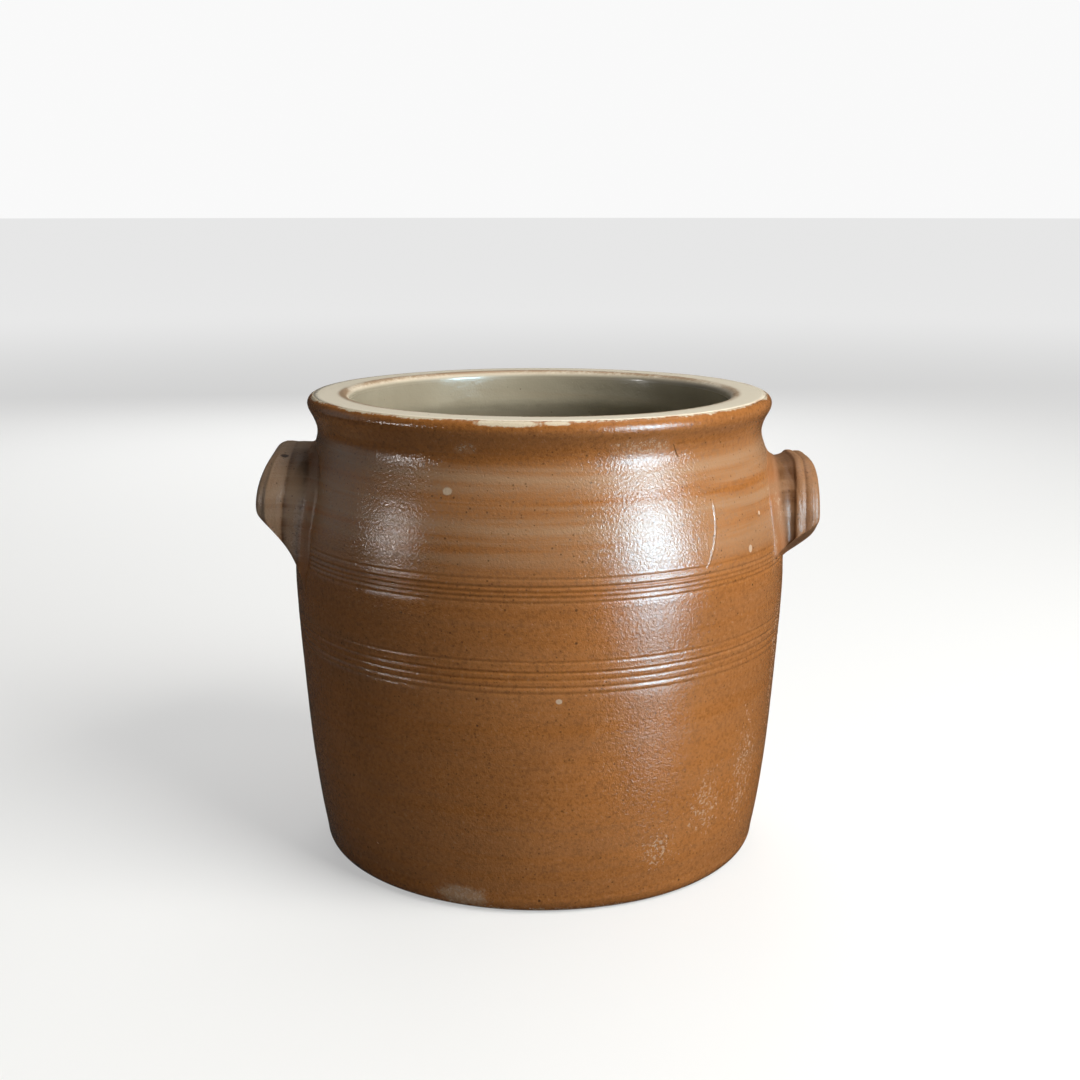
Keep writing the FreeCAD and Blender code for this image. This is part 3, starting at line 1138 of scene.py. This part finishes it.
@dataclass(frozen=True)
class SaltGlaze:
    """Orange-brown salt glaze on stoneware."""

    name: str
    main: Colour = (0.262, 0.100, 0.025)
    warm: Colour = (0.308, 0.118, 0.029)
    dark: Colour = (0.140, 0.047, 0.010)
    ash: Colour = (0.330, 0.212, 0.125)
    beige: Colour = (0.55, 0.48, 0.35)
    chalk: Colour = (0.46, 0.37, 0.27)
    speck: Colour = (0.040, 0.018, 0.008)
    roughness: float = 0.13
    sheen_level: float = 0.38
    dryness: float = 0.10
    bump: float = 0.12 * MM
    runs: bool = False
    on_ears: bool = False
    cut_dark: float = 0.6
    root: Colour = (0.290, 0.115, 0.036)
    chalky: tuple[Mark, ...] = ()
    chips: tuple[Mark, ...] = ()
    gash_shade: tuple[Mark, ...] = ()
    spills: tuple[Mark, ...] = ()

    def build(self, form: PotForm) -> bpy.types.Material:
        """Make the material.

        Args:
            form: the pot, for the places of marks.

        Returns:
            The finish.
        """
        material, sheet = new_material(self.name)
        place = sheet.place()
        tone = Mottling().on(sheet, Vector=place)
        peel = OrangePeel().on(sheet, Vector=place, Pebble=880.0)
        speckled = 0.12 if self.on_ears else 0.45
        large_specks = IronSpecks().on(sheet, Vector=place, Spacing=190.0, Share=speckled, Size=0.09)[0]
        small_specks = IronSpecks().on(sheet, Vector=place, Spacing=560.0, Share=0.60, Size=0.22)[0]
        height = sheet.split(place)[2]

        colour = sheet.blend(sheet.step(tone["Cloud"], 0.35, 0.68), self.main, self.warm)
        colour = sheet.blend(sheet.times(sheet.step(tone["Streak"], 0.48, 0.75), 0.20), colour, self.dark)
        grain = sheet.times(sheet.step(tone["Fine"], 0.46, 0.66), 0.55)
        colour = sheet.blend(grain, colour, self.dark)
        colour = sheet.blend(sheet.times(sheet.step(tone["Fine"], 0.44, 0.26), 0.35), colour, self.ash)
        colour = sheet.blend(sheet.times(sheet.step(peel["Height"], -0.15, -0.55), 0.35), colour, self.dark)
        if self.on_ears:
            colour = self.ear_tones(sheet, tone, colour)
        # Greyer shoulder bands: partly ash on the glaze, partly a painted reflected sheen.
        ash_and_sheen = self.ash_and_sheen_share(sheet, tone, height)
        colour = sheet.blend(ash_and_sheen, colour, self.ash)
        grain_noise = Grain.on(sheet, place)
        # Painted shade: near-black marks stand in for the shadow inside a gash.
        gash_shade = strongest(sheet, (m.mask(sheet, place, form, grain_noise) for m in self.gash_shade))
        colour = sheet.blend(gash_shade, colour, self.speck)
        colour = sheet.blend(sheet.times(large_specks, 0.85), colour, self.speck)
        colour = sheet.blend(sheet.times(small_specks, 0.62), colour, self.speck)
        rim = RimLine().on(sheet, Vector=place)
        spill = strongest(sheet, (m.mask(sheet, place, form, grain_noise) for m in self.spills))
        beige = sheet.larger(rim["Beige"], spill)
        colour = sheet.blend(sheet.times(rim["Blush"], 0.35), colour, self.warm)
        colour = sheet.blend(beige, colour, self.beige)
        chalk = strongest(sheet, (m.mask(sheet, place, form, grain_noise) for m in self.chalky))
        chip = strongest(sheet, (m.mask(sheet, place, form, grain_noise) for m in self.chips))
        pale = sheet.larger(chalk, chip)
        colour = sheet.blend(pale, colour, self.chalk)
        bare = sheet.step(height, 0.0025, 0.0002)
        colour = sheet.blend(sheet.times(bare, 0.8), colour, self.ash)

        rough = sheet.between(tone["Cloud"], self.roughness - 0.04, self.roughness + 0.05)
        rough = sheet.plus(rough, sheet.times(ash_and_sheen, self.dryness))
        rough = sheet.plus(rough, sheet.times(sheet.step(tone["Fine"], 0.4, 0.7), 0.06))
        rough = sheet.plus(rough, sheet.times(pale, 0.30))
        rough = sheet.plus(rough, sheet.times(bare, 0.30), True)

        relief = sheet.plus(peel["Height"], sheet.times(tone["Streak"], 0.9))
        if self.runs:
            run = ThinLine().on(
                sheet, Vector=place, Turn=math.radians(-50.4), Middle=0.168, Half=0.015, Bow=0.003, Lean=0.004,
                Width=0.0011,
            )[0]
            crack = ThinLine().on(
                sheet, Vector=place, Turn=math.radians(-57.0), Middle=0.2045, Half=0.0035, Lean=-0.002,
                Width=0.00045,
            )[0]
            relief = sheet.plus(relief, sheet.times(run, 3.2))
            relief = sheet.minus(relief, sheet.times(crack, 2.0))
            colour = sheet.blend(sheet.times(crack, 0.8), colour, self.speck)
        shader = sheet.node("BsdfPrincipled")
        sheet.feed(shader.inputs["Base Color"], colour)
        sheet.feed(shader.inputs["Roughness"], rough)
        sheet.feed(shader.inputs["Normal"], bumped(sheet, relief, self.bump))
        shader.inputs["IOR"].default_value = 1.52
        shader.inputs["Specular IOR Level"].default_value = self.sheen_level
        sheet.show("Material", shader.outputs[0])
        return material

    def ear_tones(
        self, sheet: Sheet, tone: bpy.types.NodeGroup, colour: Socket
    ) -> Socket:
        """Pale dry crests, painted shade in the creases and a brown cut end, over the ear's own colour."""
        form = sheet.node("Attribute", attribute_name=FORM_LAYER, attribute_type="GEOMETRY")
        hollow, cut, root = sheet.hues(form.outputs["Color"])
        broken = sheet.plus(0.55, sheet.times(tone["Fine"], 0.8))
        crest = sheet.minus(1.0, sheet.larger(hollow, sheet.larger(cut, root)))
        colour = sheet.blend(sheet.times(crest, sheet.times(broken, 0.45), True), colour, self.ash)
        # Painted shade: the creases between the ribs are darkened as if in shadow, and the strap's inner side more
        # faintly.
        crease_shade = sheet.times(sheet.step(hollow, 0.25, 0.9), sheet.times(broken, 1.0), True)
        colour = sheet.blend(crease_shade, colour, self.dark)
        colour = sheet.blend(sheet.times(cut, sheet.times(broken, self.cut_dark), True), colour, self.dark)
        colour = sheet.blend(sheet.step(root, 0.1, 0.8), colour, self.root)
        return sheet.blend(sheet.step(root, 0.7, 0.98), colour, WALL_MAIN)

    def ash_and_sheen_share(
        self, sheet: Sheet, tone: bpy.types.NodeGroup, height: Socket
    ) -> Socket:
        """How much greyer the glaze is, most on the shoulder: partly ash on the glaze, partly a painted sheen of the
        bright room reflected in the shoulder.
        """
        shoulder = sheet.times(sheet.step(height, 0.145, 0.175), sheet.step(height, 0.212, 0.198))
        broken = sheet.step(sheet.plus(tone["Streak"], sheet.times(tone["Fine"], 0.3)), 0.42, 0.86)
        return sheet.times(sheet.plus(sheet.times(shoulder, 0.62), 0.12), broken)


@dataclass(frozen=True)
class LinerGlaze:
    """Glossy grey-beige glaze, poured round the inside and over the rim."""

    name: str = "liner_glaze_beige"
    main: Colour = (0.275, 0.248, 0.180)
    pale: Colour = (0.325, 0.297, 0.220)
    top: Colour = (0.74, 0.67, 0.53)
    brown: Colour = (0.30, 0.20, 0.115)
    edge: Colour = (0.40, 0.19, 0.085)
    speck: Colour = (0.10, 0.065, 0.035)
    bump: float = 0.12 * MM
    coat: float = 0.5
    coat_roughness: float = 0.08

    def build(self) -> bpy.types.Material:
        """Make the material.

        Returns:
            The finish.
        """
        material, sheet = new_material(self.name)
        place = sheet.place()
        tone = Mottling().on(sheet, Vector=place)
        specks = IronSpecks().on(sheet, Vector=place, Spacing=300.0, Share=0.26, Size=0.11)[0]
        squashed = sheet.scaled(place, (1.0, 1.0, 1.4))
        pores = IronSpecks().on(sheet, Vector=squashed, Spacing=560.0, Share=0.22, Size=0.12)[0]
        rim = RimLine().on(sheet, Vector=place)
        level = sheet.scaled(place, (1.0, 1.0, 0.0))
        radius = sheet.vector("LENGTH", level).outputs["Value"]
        height = sheet.split(place)[2]

        colour = sheet.blend(sheet.step(tone["Cloud"], 0.38, 0.66), self.main, self.pale)
        colour = sheet.blend(sheet.times(sheet.step(tone["Streak"], 0.50, 0.80), 0.32), colour, self.brown)
        on_top = sheet.step(height, 0.2165, 0.2190)
        colour = sheet.blend(sheet.times(on_top, 0.9), colour, self.top)
        lip = sheet.times(sheet.step(radius, 0.0900, 0.0925), sheet.step(radius, 0.0965, 0.0935))
        lip = sheet.times(lip, sheet.step(height, 0.214, 0.2185))
        worn = sheet.step(sheet.plus(tone["Cloud"], sheet.times(tone["Fine"], 0.5)), 0.58, 0.90)
        colour = sheet.blend(sheet.times(lip, sheet.plus(0.25, worn), True), colour, self.brown)
        colour = sheet.blend(sheet.times(specks, 0.75), colour, self.speck)
        colour = sheet.blend(sheet.times(pores, 0.55), colour, self.speck)
        edge = sheet.times(sheet.step(radius, 0.1050, 0.1068), sheet.minus(1.0, rim["Beige"]))
        edge = sheet.times(edge, sheet.step(height, 0.205, 0.212))
        colour = sheet.blend(edge, colour, self.edge)

        rough = sheet.between(tone["Cloud"], 0.16, 0.26)
        rough = sheet.plus(rough, sheet.times(sheet.step(height, 0.214, 0.219), 0.24), True)

        ripple = sheet.noise(sheet.scaled(place, (1.0, 1.0, 1.6)), 90.0, 3.0, 0.5)
        fine = sheet.noise(place, 900.0, 2.0, 0.5)
        relief = sheet.plus(sheet.times(ripple, 2.6), sheet.times(fine, 0.5))
        relief = sheet.minus(relief, sheet.times(pores, 0.8))
        shader = sheet.node("BsdfPrincipled")
        sheet.feed(shader.inputs["Base Color"], colour)
        sheet.feed(shader.inputs["Roughness"], rough)
        sheet.feed(shader.inputs["Normal"], bumped(sheet, relief, self.bump))
        shader.inputs["Coat Weight"].default_value = self.coat
        shader.inputs["Coat Roughness"].default_value = self.coat_roughness
        sheet.show("Material", shader.outputs[0])
        return material


# ------------ the studio
class Shows(Enum):
    """What a light gives the crock."""

    BOTH = "light and a reflection"
    LIGHT = "light only"
    REFLECTION = "a reflection only"


@dataclass(frozen=True)
class Window:
    """A soft window light, aimed at the crock."""

    name: str
    place: Point
    wide: float
    tall: float
    watts: float
    colour: Colour = (1.0, 1.0, 1.0)
    aim: Point = (0.0, 0.0, 0.12)
    shows: Shows = Shows.BOTH

    def build(self) -> bpy.types.Object:
        """Hang the light.

        Returns:
            The light's object.
        """
        data = bpy.data.lights.new(self.name, "AREA")
        data.shape = "RECTANGLE"
        data.size = self.wide
        data.size_y = self.tall
        data.energy = self.watts
        data.color = self.colour
        lamp = bpy.data.objects.new(self.name, data)
        lamp.location = self.place
        lamp.visible_diffuse = self.shows is not Shows.REFLECTION
        lamp.visible_glossy = self.shows is not Shows.LIGHT
        look = Vector(self.aim) - Vector(self.place)
        lamp.rotation_euler = look.to_track_quat("-Z", "Y").to_euler()
        bpy.context.scene.collection.objects.link(lamp)
        return lamp


@dataclass(frozen=True)
class Studio:
    """The floor, the lights, the pale surroundings and the camera."""

    floor_radius: float = 40.0
    floor_colour: Colour = (0.42, 0.42, 0.41)
    floor_glow: tuple[float, float] = (0.42, 0.78)
    surround: float = 0.035
    backdrop: float = 0.95
    lens: float = 51.73
    camera: Point = (0.0002, -0.739, 0.306)
    tilt: float = 77.84

    def build(self) -> None:
        """Set the whole studio up."""
        self.lay_floor()
        self.light_world()
        sky = (0.52, 0.82, 1.0)
        windows = (
            Window("daylight", (0.98, -0.69, 1.0), 1.0, 1.0, 40.0, (1.0, 0.98, 0.95), shows=Shows.LIGHT),
            Window("upper_pane", (0.93, -0.76, 0.53), 0.40, 0.32, 15.0, sky, shows=Shows.REFLECTION),
            Window("lower_pane", (0.93, -0.76, 0.20), 0.52, 0.26, 19.0, sky, shows=Shows.REFLECTION),
            Window("sill", (0.93, -0.76, -0.16), 0.40, 0.34, 7.0, sky, shows=Shows.REFLECTION),
            Window("far_window", (-1.10, -0.46, 0.30), 0.15, 0.18, 2.8, shows=Shows.REFLECTION),
            Window("left_wall", (-1.3, 0.35, 0.45), 0.9, 0.9, 0.9),
            Window("back_fill", (-0.15, 1.35, 0.9), 1.1, 1.1, 11.0, shows=Shows.LIGHT),
            Window("overhead", (0.25, 0.35, 1.5), 1.2, 1.0, 5.0),
        )
        for window in windows:
            window.build()
        self.set_camera()
        bpy.context.scene.view_settings.view_transform = "Standard"

    def lay_floor(self) -> None:
        """A plain pale floor, which the glossy glaze doesn't mirror."""
        shape = bmesh.new()
        bmesh.ops.create_circle(shape, cap_ends=True, segments=96, radius=self.floor_radius)
        mesh = bpy.data.meshes.new("floor")
        shape.to_mesh(mesh)
        shape.free()
        material, sheet = new_material("plain_floor")
        rays = sheet.node("LightPath")
        shader = sheet.node("BsdfPrincipled")
        sheet.feed(shader.inputs["Base Color"], self.floor_colour)
        sheet.feed(shader.inputs["Roughness"], 0.9)
        sheet.feed(shader.inputs["Emission Color"], (1.0, 1.0, 1.0))
        far = sheet.step(sheet.vector("LENGTH", sheet.place()).outputs["Value"], 0.3, 4.0)
        glow = sheet.between(far, *self.floor_glow)
        sheet.feed(shader.inputs["Emission Strength"], sheet.times(rays.outputs["Is Camera Ray"], glow))
        clear = sheet.node("BsdfTransparent")
        mix = sheet.node("MixShader")
        sheet.feed(mix.inputs[0], rays.outputs["Is Glossy Ray"])
        sheet.feed(mix.inputs[1], shader.outputs[0])
        sheet.feed(mix.inputs[2], clear.outputs[0])
        sheet.show("Material", mix.outputs[0])
        mesh.materials.append(material)
        floor = bpy.data.objects.new("floor", mesh)
        bpy.context.scene.collection.objects.link(floor)

    def light_world(self) -> None:
        """Dim even light all round, and a pale backdrop behind the crock."""
        world = bpy.data.worlds.new("pale_room")
        bpy.context.scene.world = world
        world.use_nodes = True
        sheet = Sheet(world.node_tree)
        seen = sheet.node("LightPath").outputs["Is Camera Ray"]
        back = sheet.node("Background")
        sheet.feed(back.inputs["Color"], (1.0, 1.0, 1.0))
        sheet.feed(back.inputs["Strength"], sheet.between(seen, self.surround, self.backdrop))
        sheet.show("World", back.outputs[0])

    def set_camera(self) -> None:
        """Stand the camera a little above the rim, looking slightly down."""
        data = bpy.data.cameras.new("front_camera")
        data.lens = self.lens
        data.sensor_width = 36.0
        camera = bpy.data.objects.new("front_camera", data)
        camera.location = self.camera
        camera.rotation_euler = (math.radians(self.tilt), 0.0, 0.0)
        bpy.context.scene.collection.objects.link(camera)
        bpy.context.scene.camera = camera


# ------------ the crock
# Each mark: bearing in degrees, height, half width and half height in millimetres, then its strength,
# how ragged and how soft its edge is, and how far it is broken up into flecks.
WALL_CHALK = (
    Mark(-66, 207.5, 15, 4, 0.50, 0.5, 0.4, 0.8),
    Mark(-107, 207.5, 5, 2.5, 0.40, 0.5, 0.4, 0.8),
    Mark(-109, 7, 11, 5, 0.50, 0.4, 0.3, 0.35),
    Mark(-61, 27, 14, 12, 0.42, 0.4, 0.8, 1.0),
    Mark(-48, 44, 15, 22, 0.40, 0.4, 0.9, 1.0),
    Mark(-33, 52, 16, 40, 0.40, 0.4, 0.9, 1.0),
    Mark(-18, 100, 8, 60, 0.42, 0.4, 0.9, 1.0),
    Mark(-95, 1.5, 70, 2.2, 0.45, 0.4, 0.6, 1.0),
)
WALL_CHIPS = (
    Mark(-110.7, 189.6, 2.2, 1.6, 0.75, 0.15, 0.2),
    Mark(-85.9, 102, 1.4, 1.1, 0.75, 0.15, 0.2),
    Mark(-37, 158, 1.4, 1.7, 0.65, 0.15, 0.2),
    Mark(-31, 172, 0.9, 0.9, 0.6, 0.15, 0.2),
)
RIM_SPILLS = (
    Mark(-97, 218.6, 13, 1.3, 0.95, 0.35, 0.25),
    Mark(-86, 218.9, 5, 0.9, 0.9, 0.35, 0.25),
)
GASH_AT = (0.606, 0.545)
RIGHT_ROOT_CHALK = (
    Mark(-19.5, 170, 6, 15, 0.36, 0.5, 0.9, 0.8),
    Mark(-23, 154, 4, 11, 0.36, 0.5, 0.9, 0.8),
)


def right_ear(form: PotForm) -> PulledEar:
    """The lower, squarer ear: a hollow beside the wall, then three even ribs.

    Args:
        form: the pot that it is stuck to.

    Returns:
        The ear, not built yet.
    """
    ribs = (Rib(0.06, 0.50, -2.2 * MM), Rib(0.46, 0.68, 1.4 * MM), Rib(0.66, 0.90, 1.0 * MM), Rib(0.86, 1.10, 0.8 * MM))
    return PulledEar(
        form=form, side=Side.RIGHT, crown=190.0 * MM,
        edge=((150.0, 130.5), (162.0, 130.7), (180.0, 130.4), (186.5, 129.4), (190.0, 127.6)),
        toe=((136.0, 110.0), (142.0, 113.6), (148.5, 121.2), (153.0, 127.4), (158.5, 134.0)),
        ribs=ribs, leg_fillet=12.5 * MM, crown_fillet=5.5 * MM, toe_slant=0.6, upright=0.8, seed=3.7,
        edge_round=2.4 * MM,
    )


def left_ear(form: PotForm) -> PulledEar:
    """The taller ear: one fat outer roll, with a softer band between it and the wall.

    Args:
        form: the pot that it is stuck to.

    Returns:
        The ear, not built yet.
    """
    ribs = (Rib(0.20, 0.50, 0.9 * MM), Rib(0.50, 1.16, 2.2 * MM))
    return PulledEar(
        form=form, side=Side.LEFT, crown=197.0 * MM,
        edge=((150.0, 133.2), (166.0, 133.2), (177.0, 132.4), (188.0, 128.6), (194.5, 123.2), (197.5, 117.0)),
        toe=((124.0, 110.0), (134.0, 112.6), (149.5, 119.6), (160.0, 128.4), (168.0, 136.0)),
        ribs=ribs, leg_fillet=12.0 * MM, crown_fillet=4.0 * MM, toe_slant=0.3, upright=0.25, seed=8.1,
        crown_calm=0.8,
    )


def main() -> None:
    """Build the crock, its finishes and the studio."""
    logging.basicConfig(level=logging.INFO, format="%(name)s: %(message)s")
    form = PotForm()
    wall = SaltGlaze(
        "salt_glaze_wall", chalky=WALL_CHALK + RIGHT_ROOT_CHALK, chips=WALL_CHIPS, spills=RIM_SPILLS, runs=True
    ).build(form)
    left, right = left_ear(form), right_ear(form)
    gash = tuple(left.place(*GASH_AT)[0])
    left_finish = SaltGlaze(
        "salt_glaze_left_ear", main=(0.185, 0.088, 0.036), warm=(0.21, 0.105, 0.046), dark=(0.070, 0.026, 0.008),
        ash=(0.335, 0.235, 0.155), roughness=0.30, sheen_level=0.25, on_ears=True, cut_dark=0.9,
        # The near-black mark at the gash on the left ear's crown is painted shade.
        gash_shade=(Mark(0, 0, 1.7, 0.75, 1.0, 0.35, 0.3, lean=-0.5, at=gash),),
    ).build(form)
    right_finish = SaltGlaze(
        "salt_glaze_right_ear", main=(0.210, 0.098, 0.042), warm=(0.24, 0.115, 0.050), dark=(0.080, 0.032, 0.010),
        ash=(0.235, 0.128, 0.064), root=(0.27, 0.122, 0.056), roughness=0.30, sheen_level=0.25, on_ears=True,
        cut_dark=0.15, chalky=RIGHT_ROOT_CHALK,
    ).build(form)
    ThrownPot(form).build(wall)
    LinerCoat(form).build(LinerGlaze().build())
    left.build(left_finish, "left_ear_strap", "left_ear")
    right.build(right_finish, "right_ear_strap", "right_ear")
    slip = SaltGlaze("salt_glazed_slip", roughness=0.22).build(form)
    left.build_slip(slip, "left_slip_bead", "left_ear_slip")
    right.build_slip(slip, "right_slip_bead", "right_ear_slip")
    Studio().build()
    LOG.info("all pieces are built")
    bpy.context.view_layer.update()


if __name__ == "__main__":
    main()
